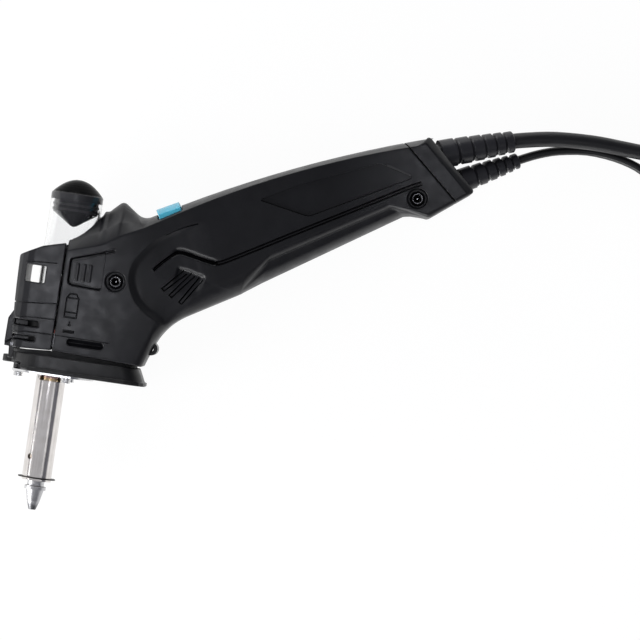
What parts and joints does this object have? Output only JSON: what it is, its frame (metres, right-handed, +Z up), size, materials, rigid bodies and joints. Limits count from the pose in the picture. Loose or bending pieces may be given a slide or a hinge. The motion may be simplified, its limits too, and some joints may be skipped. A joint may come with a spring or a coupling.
{
  "type": "desoldering iron",
  "caption": "Hand-held vacuum desoldering iron: heated suction nozzle, angled handle with blue trigger, removable glass solder tube behind a hinged door, vacuum hose and power lead.",
  "frame": {"origin": "on the flat side of the flange that the iron lies on, straight under the axis of its suction nozzle", "axes": "-Y along the nozzle towards its mouth, +X towards the end of the handle, +Z up from the surface that it lies on"},
  "size_m": [0.3875, 0.2173, 0.034],
  "materials": {
    "housing": "fine matte moulding",
    "flange": "satin moulding",
    "black_screws": "black oxide",
    "lug": "satin",
    "spacer": "rough",
    "shield": "bright",
    "screws": "bright",
    "barrel": "brushed, warm grey",
    "collar": "heat tinted",
    "washer": "dark",
    "tip": "plated, dark at the mouth",
    "core": "bronze",
    "ceramic": "fired ceramic",
    "pipe": "satin",
    "seat": "turned",
    "red_seal": "silicone",
    "felt": "felt",
    "brass": "turned",
    "clear_hose": "silicone",
    "switch": "satin",
    "board": "lacquered",
    "connector": "satin",
    "wire": "satin",
    "inner_sheath": "satin",
    "clamp": "satin",
    "relief": "matte",
    "glass": "clear",
    "cap": "satin",
    "seals": "satin",
    "button": "satin blue",
    "hose": "matte",
    "lead": "satin",
    "tie": "woven",
    "plug": "satin"
  },
  "bodies": {
    "iron": {"housing_left": "housing", "housing_right": "housing", "end_cap": "housing", "housing_screws": "black_screws", "rest_lug": "lug", "flange": "flange", "insulating_spacer": "spacer", "heat_shield_plate": "shield", "flange_screws": "screws", "barrel_tube": "barrel", "barrel_collar": "collar", "end_washer": "washer", "desoldering_tip": "tip", "heater_core": "core", "heater_cartridges": "ceramic", "temperature_sensor": "ceramic", "suction_pipe": "pipe", "seal_seat": "seat", "tube_seal": "red_seal", "filter_ring": "felt", "hose_nipple": "brass", "inner_hose": "clear_hose", "microswitch": "switch", "circuit_board": "board", "board_connector": "connector", "heater_wires": "wire", "inner_lead": "inner_sheath", "lead_clamp": "clamp", "hose_strain_relief": "relief", "lead_strain_relief": "relief", "door_hinge_pin": "screws", "vacuum_hose": "hose", "hose_coil": "hose", "hose_tail": "hose", "hose_fitting": "brass", "hose_tie": "tie", "power_lead": "lead", "lead_coil": "lead", "lead_tail": "lead", "lead_plug": "plug", "plug_pins": "brass", "lead_tie": "tie"},
    "door": {"front_door": "housing"},
    "latch_left": {"latch_left": "housing"},
    "latch_right": {"latch_right": "housing"},
    "collector": {"glass_tube": "glass"},
    "cap": {"tube_cap": "cap", "cap_seals": "seals"},
    "trigger": {"trigger_button": "button"}
  },
  "joints": [
    {"name": "trigger_press", "type": "slide", "parent": "iron", "child": "trigger", "axis": [0.4695, -0.8829, 0], "range_m": [0, 0.0015], "stiffness_N_per_m": 800},
    {"name": "front_door", "type": "hinge", "parent": "iron", "child": "door", "pos_m": [-0.0186, 0.00618, 0.017], "axis": [0, 0, 1], "range_deg": [0, 60]},
    {"name": "latch_left_press", "type": "hinge", "parent": "iron", "child": "latch_left", "pos_m": [0.0174, 0.0442, 0.0316], "axis": [0, -1, 0], "range_deg": [0, 5], "stiffness_Nm_per_rad": 0.5},
    {"name": "latch_right_press", "type": "hinge", "parent": "iron", "child": "latch_right", "pos_m": [0.0174, 0.0442, 0.0024], "axis": [0, 1, 0], "range_deg": [0, 5], "stiffness_Nm_per_rad": 0.5},
    {"name": "tube_slide", "type": "slide", "parent": "iron", "child": "collector", "axis": [0, 1, 0], "range_m": [0, 0.07]},
    {"name": "cap_pull", "type": "slide", "parent": "collector", "child": "cap", "axis": [0, 1, 0], "range_m": [0, 0.012]}
  ]
}
